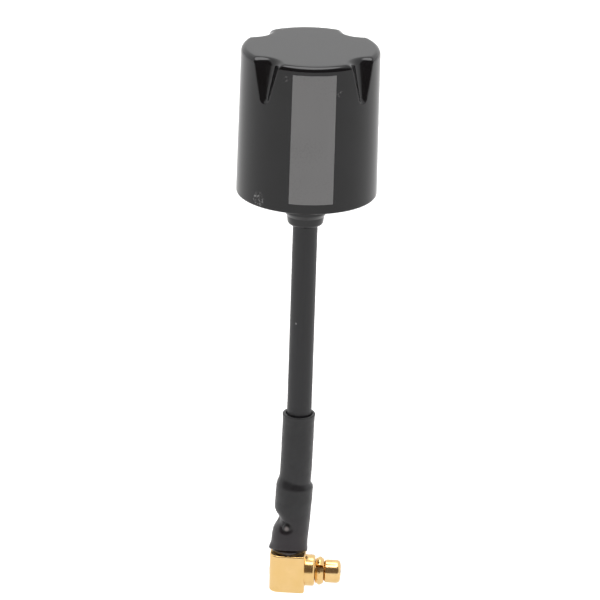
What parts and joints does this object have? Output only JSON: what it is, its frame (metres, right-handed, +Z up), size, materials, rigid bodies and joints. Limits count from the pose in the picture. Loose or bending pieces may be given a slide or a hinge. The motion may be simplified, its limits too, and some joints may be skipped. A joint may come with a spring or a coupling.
{
  "type": "fpv antenna",
  "caption": "Small circularly polarised video antenna: a fluted cap on a rigid coaxial stem, with a right-angle push-on coaxial plug.",
  "frame": {"origin": "on the plug's axis, at the middle of its barrel's straight wall", "axes": "+X the way the plug points, +Z up along the stem, -Y the side that the label faces to within 8 degrees"},
  "size_m": [0.0154, 0.0154, 0.0636],
  "materials": {
    "moulded_cap": "gloss black moulded polycarbonate",
    "turned_base": "black moulded plastic",
    "label": "plain grey film",
    "jacket": "black extruded cable jacket",
    "shrink": "black heat-shrink tube",
    "adhesive": "glossy black set adhesive",
    "gold_plate": "polished gold plate on brass",
    "insulator": "white fluoropolymer",
    "tinned_braid": "tinned copper braid",
    "silvered_wire": "silver-plated copper",
    "solder": "bright solder",
    "ferrule": "crimped brass tube",
    "laminate": "dark green glass-fibre laminate",
    "copper_track": "plated copper track"
  },
  "bodies": {
    "root": {"plug_body": "gold_plate", "plug_cover": "gold_plate", "plug_barrel": "gold_plate", "snap_ring": "gold_plate", "plug_insulator": "insulator", "plug_pin": "gold_plate", "contact_joint": "solder", "neck_joint": "solder", "coax_core": "silvered_wire", "coax_dielectric": "insulator", "coax_braid": "tinned_braid", "coax_jacket": "jacket", "crimp_ferrule": "ferrule", "adhesive_bead": "adhesive", "heat_shrink": "shrink", "radome_base": "turned_base", "radome_cap": "moulded_cap", "label": "label", "lower_board": "laminate", "lower_tracks": "copper_track", "top_board": "laminate", "top_tracks": "copper_track", "slant_wires": "silvered_wire", "wire_joints": "solder", "braid_joint": "solder", "core_joint": "solder"}
  },
  "joints": []
}
